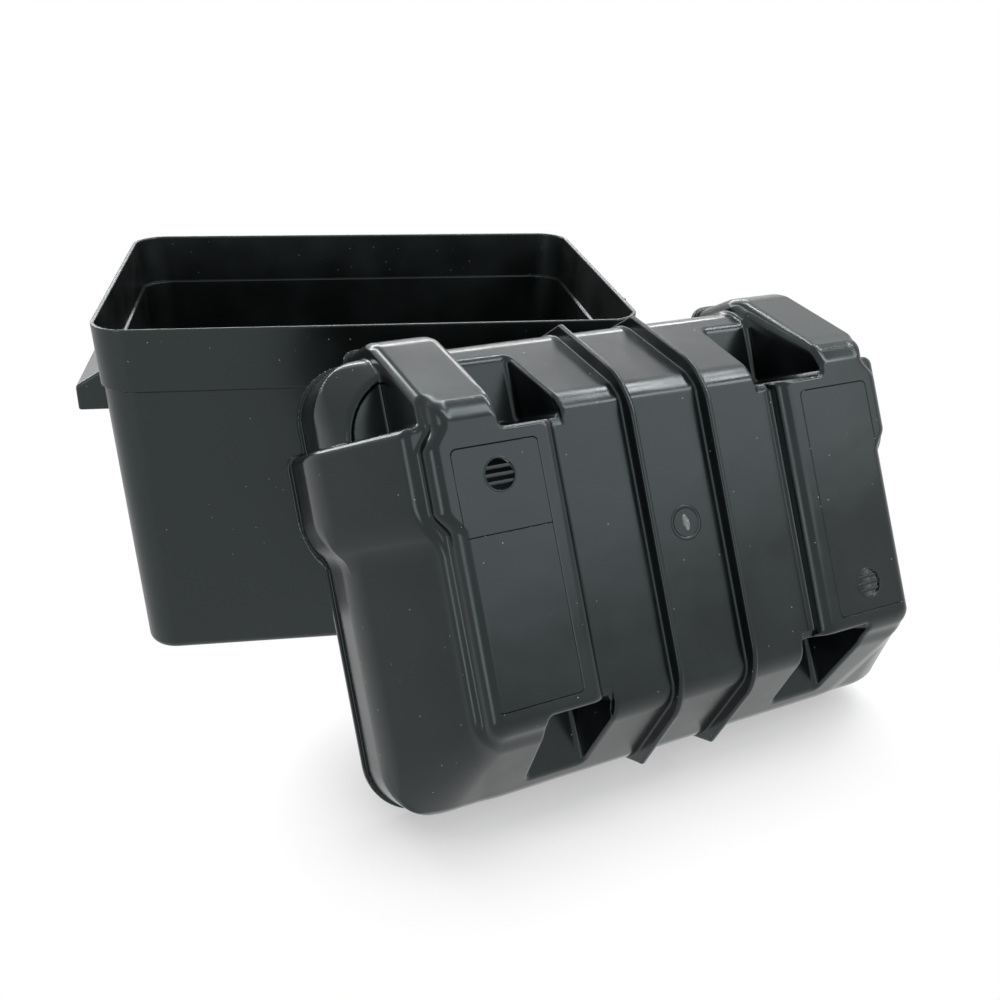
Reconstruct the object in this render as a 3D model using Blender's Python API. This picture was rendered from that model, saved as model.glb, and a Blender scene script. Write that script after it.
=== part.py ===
"""A moulded battery storage case: a deep, tapered box with two carrying handles, and its lid.

The lid is off. It stands on one long edge in front of the box and leans on the box's front right
corner. Lengths are in metres and +Z is up. The origin is on the floor at the middle of the box's
underside, -Y is the front and +X is the right-hand end.

Each moulding is built from Forms. A Form is a block whose sides face given ways in plan and lean
in with height. Shrunk by the wall, the same Form is the hollow under it; grown by the wall, a
Form that is cut from the outside leaves a wall of the same thickness.
"""

from dataclasses import dataclass
from math import asin, atan2, cos, degrees, hypot, pi, radians, sin, sqrt, tan

import bmesh
import bpy
from mathutils import Euler, Matrix, Vector

# Box
RIM_LENGTH = 0.320
RIM_WIDTH = 0.230
BOX_HEIGHT = 0.218
BOX_WALL = 0.0024
BOX_DRAFT = 0.0083
RIM_CORNER_RADIUS = 0.0215
RIM_CHAMFER = 0.0005
COLLAR_HEIGHT = 0.0367
COLLAR_STEP = 0.0014
LEDGE_RISE = 0.0045
UNDERSIDE_RADIUS = 0.006
UNDERSIDE_CORNER_RADIUS = 0.019

# Handles of the box
HANDLE_WIDTH = 0.111
HANDLE_REACH = 0.0245
HANDLE_WALL = 0.0026
HANDLE_DROP = 0.0018
HANDLE_SLOPE = 0.0148
HANDLE_GRIP = 0.0160
HANDLE_EDGE_RADIUS = 0.0015

# Catch nub outside the rim's right end
NUB_WIDTH = 0.0026
NUB_HEIGHT = 0.0024
NUB_REACH = 0.0013
NUB_DROP = 0.0006
NUB_SETBACK = 0.047

# Lid, from its rim plane up
LID_WALL = 0.0020
LID_CLEARANCE = 0.0005
LID_HEIGHT = 0.102
FACE_DROP = 0.0095
SKIRT_HEIGHT = 0.036
SKIRT_CORNER_RADIUS = 0.028
SIDE_RUN = 0.0405
END_RUN = 0.0275
EDGE_RADIUS = 0.0045
LIP_WIDTH = 0.0020
LIP_HEIGHT = 0.003

# Raised end plates of the lid
PLATE_LENGTH = 0.066
PLATE_SETBACK = 0.003
PLATE_CORNER_RADIUS = 0.008
PLATE_INNER_RUN = 0.0055
PLATE_OUTER_RUN = 0.0035
BULGE_REACH = 0.0065
BULGE_SETBACK = 0.007

# Humps that run down the back of the lid
HUMP_LENGTH = 0.033
HUMP_SETBACK = 0.005
HUMP_REACH = 0.0075
HUMP_SHOULDER = 0.041
HUMP_DRAFT = 0.002
HUMP_CORNER_RADIUS = 0.006
HUMP_EDGE_RADIUS = 0.006

# Lobes on the ends of the lid
LOBE_LENGTH = 0.057
LOBE_SETBACK = 0.0425
LOBE_REACH = 0.0095
LOBE_RAMP = 0.018
LOBE_CORNER_RADIUS = 0.006

# Hollows in the lid's outside
POCKET_LENGTH = 0.033
POCKET_OVERLAP = 0.004
POCKET_SETBACK = 0.005
POCKET_FLOOR = 0.0505
POCKET_DRAFT = 0.003
POCKET_CORNER_RADIUS = 0.003
NOTCH_WIDTH = 0.007
NOTCH_RUN = 0.012
NOTCH_DEPTH = 0.006
RECESS_RIM = 0.003
RECESS_STEP = 0.0015

# Ribs, panels, vents and gate mark of the lid
RIB_SPACING = 0.0457
RIB_WIDTH = 0.0040
RIB_HEIGHT = 0.0049
RIB_FOOT = 0.040
PANEL_LENGTH = 0.0441
PANEL_WIDTH = 0.1218
PANEL_MARGIN = 0.0078
PANEL_CORNER_RADIUS = 0.002
SCORE_WIDTH = 0.0007
SCORE_DEPTH = 0.0004
VENT_DIAMETER = 0.015
VENT_BAR = 0.0016
VENT_SHIFT = 0.0467
VENT_SLOTS = 4
GATE_DIAMETER = 0.0174
GATE_SHIFT = 0.0056
GATE_DEPTH = 0.0003

# Where the lid stands, with its back edge just below the box's rim
LEAN_DROP = 0.0074
STEEPEST_LEAN_SHARE = 0.97
LID_TURN = radians(16.9)
LID_SHIFT = 0.0660
CONTACT_GAP = 0.0004
FLOOR_GAP = 0.0003

# One overrun serves every cut
OVERRUN = 0.02
SMALLEST_RADIUS = 0.0004
CORNER_STEPS = 5
EDGE_STEPS = 3

# Sizes that follow
STEP_HEIGHT = BOX_HEIGHT - COLLAR_HEIGHT
FACE_HEIGHT = LID_HEIGHT - FACE_DROP
SKIRT_HALF_LENGTH = RIM_LENGTH / 2 + LID_CLEARANCE + LID_WALL
SKIRT_HALF_WIDTH = RIM_WIDTH / 2 + LID_CLEARANCE + LID_WALL
SLOPE_RISE = FACE_HEIGHT - SKIRT_HEIGHT
SIDE_LEAN = SIDE_RUN / SLOPE_RISE
END_LEAN = END_RUN / SLOPE_RISE
FACE_HALF_LENGTH = SKIRT_HALF_LENGTH - END_RUN
FACE_HALF_WIDTH = SKIRT_HALF_WIDTH - SIDE_RUN
PLATE_OUTER = FACE_HALF_LENGTH - PLATE_SETBACK
PLATE_INNER = PLATE_OUTER - PLATE_LENGTH
HUMP_OUTER = FACE_HALF_LENGTH - HUMP_SETBACK
HUMP_INNER = HUMP_OUTER - HUMP_LENGTH
LOBE_BACK = SKIRT_HALF_WIDTH - LOBE_SETBACK
LOBE_FRONT = LOBE_BACK - LOBE_LENGTH
PANEL_MIDDLE = PLATE_INNER + PLATE_INNER_RUN + PANEL_MARGIN + PANEL_LENGTH / 2

RIGHT, BACK, LEFT, FRONT = 0.0, 90.0, 180.0, 270.0


@dataclass(frozen=True)
class Side:
    """One side of a Form.

    facing is the way it faces in plan, in degrees from +X. reach is how far out it is at the
    Form's datum, and lean is how much it comes in for each metre above it.
    """

    facing: float
    reach: float
    lean: float = 0.0

    def normal(self):
        """Return the unit vector, in plan, that the side faces along."""
        return Vector((cos(radians(self.facing)), sin(radians(self.facing))))

    def reach_at(self, rise, inset, skirted):
        """Return how far out the side is at a height above the datum, moved in by an inset."""
        leaning = self.reach - rise * self.lean - inset * hypot(1, self.lean)
        return min(self.reach - inset, leaning) if skirted else leaning


@dataclass(frozen=True)
class Form:
    """A block between two heights, bounded by sides in order round the plan.

    A skirted Form stands upright below its datum. corners holds the radius of each corner, each
    one where a side meets the side before it, and edge is the radius of the top edge.
    """

    sides: tuple
    base: float
    top: float
    datum: float
    corners: tuple
    edge: float = 0.0
    skirted: bool = True

    def outline(self, height, inset, mirrored):
        """Return the rounded plan outline at a height, as points."""
        lines = [(s.normal(), s.reach_at(height - self.datum, inset, self.skirted))
                 for s in self.sides]
        corners = [meeting(lines[k - 1], lines[k]) for k in range(len(lines))]
        points = rounded(corners, [max(radius - inset, SMALLEST_RADIUS) for radius in self.corners])
        if mirrored:
            points = [Vector((-p.x, p.y)) for p in reversed(points)]
        return [(p.x, p.y, height) for p in points]

    def solid(self, inset=0.0, mirrored=False, base=None, top=None):
        """Build the Form, or the same Form moved in on every side and at its top.

        A top that is given instead is left sharp.
        """
        base = self.base if base is None else base
        edge = 0.0 if top else max(self.edge - inset, 0.0)
        top = top or self.top - inset
        levels = [(base, inset)]
        if self.skirted and base < self.datum < top:
            steepest = max(s.lean for s in self.sides)
            levels.append((self.datum - inset * (hypot(1, steepest) - 1) / steepest, inset))
        levels += edge_levels(top, edge, inset)
        return loft([self.outline(height, ring, mirrored) for height, ring in levels])


def edge_levels(top, radius, inset):
    """Return the heights and insets that round a top edge off, or the one level of a sharp one."""
    if not radius:
        return [(top, inset)]
    turns = [k / EDGE_STEPS * pi / 2 for k in range(EDGE_STEPS + 1)]
    return [(top - radius * (1 - sin(a)), inset + radius * (1 - cos(a))) for a in turns]


def meeting(first, second):
    """Return where two plan lines meet, each given as its unit normal and its reach."""
    (a, p), (b, q) = first, second
    across = a.x * b.y - a.y * b.x
    return Vector(((p * b.y - q * a.y) / across, (q * a.x - p * b.x) / across))


def rounded(corners, radii):
    """Replace each corner of an outline by an arc that is tangent to both of its sides."""
    points = []
    for k, (corner, radius) in enumerate(zip(corners, radii)):
        before = (corners[k - 1] - corner).normalized()
        after = (corners[(k + 1) % len(corners)] - corner).normalized()
        half = before.angle(after) / 2
        centre = corner + (before + after).normalized() * radius / sin(half)
        start = corner + before * radius / tan(half) - centre
        end = corner + after * radius / tan(half) - centre
        turn = start.angle_signed(end)
        for step in range(CORNER_STEPS + 1):
            angle = -turn * step / CORNER_STEPS
            points.append(centre + Vector((start.x * cos(angle) - start.y * sin(angle),
                                           start.x * sin(angle) + start.y * cos(angle))))
    return points


def rectangle(half_length, half_width, radius, height):
    """Return a rounded rectangle about the Z axis, as points at one height."""
    corners = [Vector((half_length * x, half_width * y))
               for x, y in ((1, 1), (-1, 1), (-1, -1), (1, -1))]
    return [(p.x, p.y, height) for p in rounded(corners, [radius] * len(corners))]


def loft(rings):
    """Make a closed solid through rings that run anticlockwise, from the lowest to the highest."""
    shell = bmesh.new()
    loops = [[shell.verts.new(point) for point in ring] for ring in rings]
    shell.faces.new(reversed(loops[0]))
    shell.faces.new(loops[-1])
    for lower, upper in zip(loops, loops[1:]):
        for k, vertex in enumerate(lower):
            after = (k + 1) % len(lower)
            shell.faces.new((vertex, lower[after], upper[after], upper[k]))
    mesh = bpy.data.meshes.new("form")
    shell.to_mesh(mesh)
    shell.free()
    body = bpy.data.objects.new("form", mesh)
    bpy.context.scene.collection.objects.link(body)
    return body


def prism(profile, start, end):
    """Make a solid from a profile of (y, z) points, anticlockwise seen from +X, between two x."""
    lower = [(start, y, z) for y, z in profile]
    upper = [(end, y, z) for y, z in profile]
    return loft([lower, upper])


def combined(target, tools, operation):
    """Apply the tools to the target, by UNION or DIFFERENCE, and remove them."""
    for tool in tools:
        modifier = target.modifiers.new(operation.lower(), "BOOLEAN")
        modifier.operation = operation
        modifier.solver = "EXACT"
        modifier.object = tool
    graph = bpy.context.evaluated_depsgraph_get()
    mesh = bpy.data.meshes.new_from_object(target.evaluated_get(graph))
    target.modifiers.clear()
    target.data = mesh
    for tool in tools:
        bpy.data.objects.remove(tool)
    return target


def finish(body, name, material):
    """Name a body, shade its round parts smooth and give it its material."""
    body.name = name
    body.data.name = name
    body.data.materials.clear()
    body.data.materials.append(material)
    body.data.shade_smooth()
    body.data.set_sharp_from_angle(angle=radians(28))
    return body


def polypropylene(name, shade, roughness):
    """Make a moulded plastic finish from a linear colour and a roughness."""
    material = bpy.data.materials.new(name)
    material.use_nodes = True
    shader = material.node_tree.nodes["Principled BSDF"]
    shader.inputs["Base Color"].default_value = (*shade, 1.0)
    shader.inputs["Roughness"].default_value = roughness
    shader.inputs["Metallic"].default_value = 0.0
    return material


def box_size(height, stepped):
    """Return the box's half length, half width and corner radius, in or out of its collar step."""
    drawn_in = BOX_DRAFT * (BOX_HEIGHT - height) / BOX_HEIGHT + (COLLAR_STEP if stepped else 0.0)
    share = max(min(height / BOX_HEIGHT, 1.0), 0.0)
    radius = UNDERSIDE_CORNER_RADIUS + share * (RIM_CORNER_RADIUS - UNDERSIDE_CORNER_RADIUS)
    return RIM_LENGTH / 2 - drawn_in, RIM_WIDTH / 2 - drawn_in, radius


def box_level(height, inset, stepped):
    """Return the box's outline at a height, moved in."""
    half_length, half_width, radius = box_size(height, stepped)
    return rectangle(half_length - inset, half_width - inset,
                     max(radius - inset, SMALLEST_RADIUS), height)


def box_foot(inset):
    """Return the rings that round off the box's bottom edge, inside or outside."""
    radius = UNDERSIDE_RADIUS - inset
    turns = [k / CORNER_STEPS * pi / 2 for k in range(CORNER_STEPS + 1)]
    return [box_level(inset + radius * (1 - sin(a)), inset + radius * (1 - cos(a)), True)
            for a in reversed(turns)]


def box_hull():
    """Make the outside of the box: rounded foot, tapered walls, collar step and chamfered rim."""
    return loft(box_foot(0.0) + [
        box_level(STEP_HEIGHT - COLLAR_STEP, 0.0, True),
        box_level(STEP_HEIGHT, 0.0, False),
        box_level(BOX_HEIGHT - RIM_CHAMFER, 0.0, False),
        box_level(BOX_HEIGHT, RIM_CHAMFER, False)])


def box_hollow():
    """Make the space inside the box, which widens at a ledge behind the collar."""
    ledge = STEP_HEIGHT + LEDGE_RISE
    return loft(box_foot(BOX_WALL) + [
        box_level(ledge, BOX_WALL, True),
        box_level(ledge, BOX_WALL, False),
        box_level(BOX_HEIGHT + OVERRUN, BOX_WALL, False)])


def handle(side):
    """Make one carrying handle: a sloped ledge with two end walls, open below for the fingers."""
    top = STEP_HEIGHT - HANDLE_DROP
    outer_top = top - HANDLE_SLOPE
    bottom = outer_top - HANDLE_GRIP
    root = box_size(bottom, True)[0] - BOX_WALL / 2
    outer = box_size(top, True)[0] + HANDLE_REACH
    slope = HANDLE_SLOPE / HANDLE_REACH
    outside = [(root, bottom), (outer, bottom), (outer, outer_top),
               (root, outer_top + slope * (outer - root))]
    thickness = HANDLE_WALL * hypot(1, slope)
    lip = outer - HANDLE_WALL
    inner_top = outer_top - thickness + slope * HANDLE_WALL
    clear_of_wall = box_size(bottom, True)[0] + HANDLE_WALL / 2
    inside = [(clear_of_wall, bottom - OVERRUN), (lip, bottom - OVERRUN), (lip, inner_top),
              (clear_of_wall, inner_top + slope * (lip - clear_of_wall))]
    ledge = across_end(outside, HANDLE_WIDTH / 2, side)
    soften(ledge, HANDLE_EDGE_RADIUS, outer - HANDLE_REACH / 2)
    return combined(ledge, [across_end(inside, HANDLE_WIDTH / 2 - HANDLE_WALL, side)],
                    "DIFFERENCE")


def across_end(profile, half_width, side):
    """Make a solid from a profile of (x, z) points, spread across one end of the box."""
    back = [(side * x, side * half_width, z) for x, z in profile]
    front = [(side * x, -side * half_width, z) for x, z in profile]
    return loft([back, front])


def soften(body, radius, beyond):
    """Bevel the edges of a body that lie wholly farther from the middle than a given x."""
    shell = bmesh.new()
    shell.from_mesh(body.data)
    edges = [e for e in shell.edges if all(abs(v.co.x) > beyond for v in e.verts)]
    bmesh.ops.bevel(shell, geom=edges, offset=radius, segments=2, profile=0.5,
                    affect="EDGES", clamp_overlap=True)
    shell.to_mesh(body.data)
    shell.free()


def nub():
    """Make the small catch nub that stands proud of the rim's right end, near the front."""
    top = BOX_HEIGHT - NUB_DROP
    bottom = top - NUB_HEIGHT
    root = RIM_LENGTH / 2 - BOX_WALL / 2
    outer = RIM_LENGTH / 2 + NUB_REACH
    middle = -(RIM_WIDTH / 2 - NUB_SETBACK)
    profile = [(root, bottom), (outer, bottom + NUB_REACH), (outer, top), (root, top)]
    body = across_end(profile, NUB_WIDTH / 2, 1)
    body.data.transform(Matrix.Translation((0.0, middle, 0.0)))
    return body


def make_box(material):
    """Build the box with its two handles and its nub."""
    body = combined(box_hull(), [handle(1), handle(-1), nub()], "UNION")
    combined(body, [box_hollow()], "DIFFERENCE")
    return finish(body, "box", material)


def lid_body():
    """Return the lid's main Form: an upright skirt and four long slopes up to the centre face."""
    sides = (Side(RIGHT, SKIRT_HALF_LENGTH, END_LEAN), Side(BACK, SKIRT_HALF_WIDTH, SIDE_LEAN),
             Side(LEFT, SKIRT_HALF_LENGTH, END_LEAN), Side(FRONT, SKIRT_HALF_WIDTH, SIDE_LEAN))
    return Form(sides, 0.0, FACE_HEIGHT, SKIRT_HEIGHT, (SKIRT_CORNER_RADIUS,) * 4, EDGE_RADIUS)


def end_plate():
    """Return the raised plate at the right end, whose long slopes continue those of the body."""
    sunk = EDGE_RADIUS / 10
    sides = (Side(RIGHT, PLATE_OUTER, PLATE_OUTER_RUN / FACE_DROP),
             Side(BACK, FACE_HALF_WIDTH - sunk, SIDE_LEAN),
             Side(LEFT, -PLATE_INNER, PLATE_INNER_RUN / FACE_DROP),
             Side(FRONT, FACE_HALF_WIDTH - sunk, SIDE_LEAN))
    return Form(sides, SKIRT_HEIGHT + SLOPE_RISE / 2, LID_HEIGHT, FACE_HEIGHT,
                (PLATE_CORNER_RADIUS,) * 4, EDGE_RADIUS)


def ramped(outer, inner, front, back, ramp_reach, lean):
    """Return the sides of a swelling on the right end that a ramp leads out to at its front."""
    slant = hypot(LOBE_RAMP, ramp_reach)
    away = Vector((LOBE_RAMP / slant, -ramp_reach / slant))
    start = away.x * (outer - ramp_reach) + away.y * front
    return (Side(RIGHT, outer, lean), Side(BACK, back), Side(LEFT, -inner), Side(FRONT, -front),
            Side(degrees(atan2(away.y, away.x)), start, lean * away.x))


def plate_bulge():
    """Return the swelling of the right plate's outer edge, beside the lobe."""
    outer = PLATE_OUTER + BULGE_REACH
    sides = ramped(outer, PLATE_OUTER - LOBE_RAMP, LOBE_FRONT, LOBE_BACK - BULGE_SETBACK,
                   BULGE_REACH, PLATE_OUTER_RUN / FACE_DROP)
    blunt = PLATE_CORNER_RADIUS / 2
    return Form(sides, SKIRT_HEIGHT + SLOPE_RISE / 2, LID_HEIGHT, FACE_HEIGHT,
                (blunt, blunt, blunt, blunt, blunt), EDGE_RADIUS)


def hump():
    """Return the right hump: level with the plate, and proud of the back slope all the way down."""
    draft = HUMP_DRAFT / LID_HEIGHT
    sides = (Side(RIGHT, HUMP_OUTER, draft), Side(BACK, SKIRT_HALF_WIDTH + HUMP_REACH, SIDE_LEAN),
             Side(LEFT, -HUMP_INNER, draft), Side(FRONT, -(FACE_HALF_WIDTH - NOTCH_RUN), draft))
    return Form(sides, 0.0, LID_HEIGHT, HUMP_SHOULDER, (HUMP_CORNER_RADIUS,) * 4, HUMP_EDGE_RADIUS)


def lobe():
    """Return the right lobe: proud of the end slope, level with the centre face on top."""
    sides = ramped(SKIRT_HALF_LENGTH + LOBE_REACH, FACE_HALF_LENGTH - LOBE_RAMP, LOBE_FRONT,
                   LOBE_BACK, LOBE_REACH, END_LEAN)
    return Form(sides, 0.0, FACE_HEIGHT, SKIRT_HEIGHT, (LOBE_CORNER_RADIUS,) * 5, EDGE_RADIUS)


def pocket(outer, drafted):
    """Return the cut of a pocket beside the right plate, open at the slope and above."""
    draft = POCKET_DRAFT / (FACE_HEIGHT - POCKET_FLOOR)
    sides = (Side(RIGHT, outer, -draft if drafted else 0.0),
             Side(BACK, SKIRT_HALF_WIDTH + OVERRUN),
             Side(LEFT, -(PLATE_INNER - POCKET_OVERLAP), -draft),
             Side(FRONT, -(FACE_HALF_WIDTH - POCKET_SETBACK), -draft))
    return Form(sides, POCKET_FLOOR, LID_HEIGHT + OVERRUN, POCKET_FLOOR,
                (POCKET_CORNER_RADIUS,) * 4, skirted=False)


def corner_recess():
    """Return the cut that lowers the right back corner, from under the hump and the lobe out."""
    far = SKIRT_HALF_LENGTH + LOBE_REACH + OVERRUN
    sides = (Side(RIGHT, far), Side(BACK, far), Side(LEFT, -(HUMP_OUTER - HUMP_LENGTH / 3)),
             Side(FRONT, -(LOBE_BACK - LOBE_LENGTH / 16)))
    return Form(sides, POCKET_FLOOR, LID_HEIGHT + OVERRUN, POCKET_FLOOR,
                (SMALLEST_RADIUS,) * 4, skirted=False)


def recess_pan():
    """Return the shallow pan that leaves a low rim round the floor of the right corner recess."""
    rise = POCKET_FLOOR - SKIRT_HEIGHT
    sides = (Side(RIGHT, SKIRT_HALF_LENGTH - rise * END_LEAN - RECESS_RIM),
             Side(BACK, SKIRT_HALF_WIDTH - rise * SIDE_LEAN - RECESS_RIM),
             *corner_recess().sides[2:])
    radii = (SMALLEST_RADIUS, SKIRT_CORNER_RADIUS - RECESS_RIM, SMALLEST_RADIUS, SMALLEST_RADIUS)
    return Form(sides, POCKET_FLOOR - RECESS_STEP, LID_HEIGHT, POCKET_FLOOR, radii, skirted=False)


def cuts_of(form, grown):
    """Make a cut at the right end and its mirror image, grown to leave a wall round them."""
    return [form.solid(-grown, mirrored, form.base - grown, form.top)
            for mirrored in (False, True)]


def turned_over(bodies):
    """Turn bodies half round the Z axis, from the back of the lid to its front."""
    for body in bodies:
        body.data.transform(Euler((0.0, 0.0, pi)).to_matrix().to_4x4())
    return bodies


def pockets(grown):
    """Make the four pockets. Those at the back reach in under the humps, which wall them."""
    back = pocket(HUMP_INNER + HUMP_LENGTH / 3, False)
    front = pocket(PLATE_INNER - POCKET_OVERLAP + POCKET_LENGTH, True)
    return cuts_of(back, grown) + turned_over(cuts_of(front, grown))


def notches(grown):
    """Make the four ramps that run the grooves beside the plates out into the pockets."""
    start = FACE_HALF_WIDTH - NOTCH_RUN
    foot = FACE_HEIGHT - NOTCH_DEPTH - grown
    profile = [(start, FACE_HEIGHT - grown), (FACE_HALF_WIDTH, foot), (SKIRT_HALF_WIDTH, foot),
               (SKIRT_HALF_WIDTH, LID_HEIGHT), (start, LID_HEIGHT)]
    width = NOTCH_WIDTH + grown
    starts = (PLATE_INNER - width, -PLATE_INNER - NOTCH_WIDTH)
    bodies = [prism(profile, x, x + width + NOTCH_WIDTH) for x in starts]
    return bodies + turned_over([prism(profile, x, x + width + NOTCH_WIDTH) for x in starts])


def ribs():
    """Make the two ribs that cross the centre face and run down both long slopes."""
    side = Side(BACK, SKIRT_HALF_WIDTH, SIDE_LEAN)
    top = FACE_HEIGHT + RIB_HEIGHT
    foot = side.reach_at(RIB_FOOT - SKIRT_HEIGHT, -RIB_HEIGHT, False)
    crest = side.reach_at(top - SKIRT_HEIGHT, -RIB_HEIGHT, False)
    profile = [(-foot, RIB_FOOT), (foot, RIB_FOOT), (crest, top), (-crest, top)]
    return [prism(profile, x - RIB_WIDTH / 2, x + RIB_WIDTH / 2)
            for x in (-RIB_SPACING / 2, RIB_SPACING / 2)]


def lips():
    """Make the thin lip that runs round the rim, past the humps and the lobes."""
    swellings = [form.solid(-LIP_WIDTH, mirrored, 0.0, LIP_HEIGHT)
                 for form in (hump(), lobe()) for mirrored in (False, True)]
    return [lid_body().solid(-LIP_WIDTH, base=0.0, top=LIP_HEIGHT), *swellings]


def both_ends(form, inset, base=None):
    """Make a Form at the right end and its mirror image at the left end."""
    return [form.solid(inset, mirrored, base) for mirrored in (False, True)]


def lid_solid(inset, base):
    """Fuse the lid's Forms and cut its hollows, with every surface moved in by an inset."""
    body = lid_body().solid(inset, base=base)
    combined(body, cuts_of(corner_recess(), inset) + cuts_of(recess_pan(), inset)
             + notches(inset), "DIFFERENCE")
    combined(body, both_ends(end_plate(), inset) + both_ends(plate_bulge(), inset), "UNION")
    combined(body, pockets(inset), "DIFFERENCE")
    return combined(body, both_ends(hump(), inset, base) + both_ends(lobe(), inset, base), "UNION")


def vent_slots(across, along):
    """Make the slots of one round vent, which leave level bars across it."""
    radius = VENT_DIAMETER / 2
    pitch = (VENT_DIAMETER + VENT_BAR) / VENT_SLOTS
    cuts = []
    for k in range(VENT_SLOTS):
        low = -radius + k * pitch
        high = min(low + pitch - VENT_BAR, radius)
        ring = slot_outline(low, high, radius)
        floor = LID_HEIGHT - LID_WALL - OVERRUN
        cuts.append(loft([[(across + x, along + y, z) for x, y in ring]
                          for z in (floor, LID_HEIGHT + OVERRUN)]))
    return cuts


def slot_outline(low, high, radius):
    """Return the part of a disc between two heights, as points that run anticlockwise."""
    heights = [low + (high - low) * k / CORNER_STEPS for k in range(CORNER_STEPS + 1)]
    reach = [max(sqrt(max(radius ** 2 - y ** 2, 0.0)), SMALLEST_RADIUS) for y in heights]
    right = [(x, y) for x, y in zip(reach, heights)]
    left = [(-x, y) for x, y in zip(reach, heights)]
    return right + left[::-1]


def panel_block(middle, grown, low, high):
    """Make a block with the outline of a panel, moved out all round."""
    rings = [rectangle(PANEL_LENGTH / 2 + grown, PANEL_WIDTH / 2 + grown,
                       PANEL_CORNER_RADIUS + grown, z) for z in (low, high)]
    return loft([[(x + middle, y, z) for x, y, z in ring] for ring in rings])


def score_line(middle):
    """Make the fine groove that frames one panel."""
    inner = panel_block(middle, 0.0, LID_HEIGHT - OVERRUN, LID_HEIGHT + 2 * OVERRUN)
    outer = panel_block(middle, SCORE_WIDTH, LID_HEIGHT - SCORE_DEPTH, LID_HEIGHT + OVERRUN)
    return combined(outer, [inner], "DIFFERENCE")


def gate_mark():
    """Make the shallow round recess where the moulding was filled, in the centre face."""
    turns = [k * 2 * pi / (4 * CORNER_STEPS) for k in range(4 * CORNER_STEPS)]
    radius = GATE_DIAMETER / 2
    return loft([[(radius * cos(a), GATE_SHIFT + radius * sin(a), z) for a in turns]
                 for z in (FACE_HEIGHT - GATE_DEPTH, FACE_HEIGHT + OVERRUN)])


def make_lid(material):
    """Build the lid as a shell of even wall, with its ribs, lip, vents, panels and gate mark."""
    body = combined(lid_solid(0.0, 0.0), ribs() + lips(), "UNION")
    combined(body, [lid_solid(LID_WALL, -OVERRUN)], "DIFFERENCE")
    combined(body, vent_slots(-PANEL_MIDDLE, VENT_SHIFT) + vent_slots(PANEL_MIDDLE, -VENT_SHIFT)
             + [score_line(-PANEL_MIDDLE), score_line(PANEL_MIDDLE), gate_mark()], "DIFFERENCE")
    return finish(body, "lid", material)


def stand_lid(body):
    """Stand the lid on its long front edge, turned, with its back edge just off the box's corner."""
    width = 2 * (SKIRT_HALF_WIDTH + LIP_WIDTH)
    rise = min(BOX_HEIGHT - LEAN_DROP, width * STEEPEST_LEAN_SHARE)
    lean = asin(rise / width)
    half_length, half_width, radius = box_size(rise, rise < STEP_HEIGHT)
    corner = Vector((half_length - radius, radius - half_width))
    facing = Vector((sin(LID_TURN), -cos(LID_TURN)))
    along = Vector((cos(LID_TURN), sin(LID_TURN)))
    out = corner.dot(facing) + radius + CONTACT_GAP + width / 2 * cos(lean)
    place = facing * out + along * LID_SHIFT
    body.location = (place.x, place.y, rise / 2 + FLOOR_GAP)
    body.rotation_euler = (lean, 0.0, LID_TURN)


def main():
    """Clear the scene and build the case."""
    for leftover in list(bpy.data.objects):
        bpy.data.objects.remove(leftover)
    make_box(polypropylene("box black polypropylene", (0.040, 0.046, 0.050), 0.42))
    lid = make_lid(polypropylene("lid black polypropylene", (0.058, 0.066, 0.070), 0.34))
    stand_lid(lid)


main()
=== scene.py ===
"""A moulded battery case: a deep open box with two handles, and the loose lid that leans on it.

The box and the lid are each one moulding, so each is one skin, made from a distance function: a
formula that gives, for any point, how far it lies outside the plastic. Faces, slopes, humps and
hollows are written as such distances and met or joined with the fillets that a mould has. A mesh
is then drawn over the surface where the distance is zero. Sizes of the box, the lid and the
finishes are millimetres, and those of the floor, the lamps and the camera are metres.
"""

from __future__ import annotations

import logging
from dataclasses import dataclass
from enum import Enum
from math import asin, cos, hypot, pi, radians, sin
from typing import Callable, Union

import bmesh
import bpy
import numpy as np
from mathutils import Euler, Matrix, Vector

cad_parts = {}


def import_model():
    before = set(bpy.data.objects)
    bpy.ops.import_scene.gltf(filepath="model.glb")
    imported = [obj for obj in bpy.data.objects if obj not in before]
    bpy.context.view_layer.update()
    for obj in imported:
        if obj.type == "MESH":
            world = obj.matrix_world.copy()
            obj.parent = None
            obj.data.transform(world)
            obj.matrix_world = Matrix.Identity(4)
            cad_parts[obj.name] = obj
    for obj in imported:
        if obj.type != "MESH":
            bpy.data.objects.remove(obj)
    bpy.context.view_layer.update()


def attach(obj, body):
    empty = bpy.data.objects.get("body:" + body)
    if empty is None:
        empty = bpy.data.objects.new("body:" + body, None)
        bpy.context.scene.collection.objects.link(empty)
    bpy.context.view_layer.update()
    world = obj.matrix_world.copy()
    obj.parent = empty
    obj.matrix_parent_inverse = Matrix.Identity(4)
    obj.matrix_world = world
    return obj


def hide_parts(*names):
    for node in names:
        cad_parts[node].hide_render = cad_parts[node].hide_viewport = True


LOG = logging.getLogger("battery_case")
MM = 0.001
LID_TURN = radians(16.9)
ROUND_STEPS = 72
BAR_ROUNDING = 0.3
TINY = 1e-9
WHITE = (1.0, 1.0, 1.0, 1.0)

Body = bpy.types.Object
Finish = bpy.types.Material
Tree = bpy.types.NodeTree
Node = bpy.types.Node
Triple = tuple[float, float, float]
Socket = bpy.types.NodeSocket
Field = np.ndarray
Source = Union[Node, Socket]
Distance = Callable[[Field, Field, Field], Field]


class Way(Enum):
    """The two ways in which a tool changes a moulding."""

    CUT = "DIFFERENCE"
    JOIN = "UNION"


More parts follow.
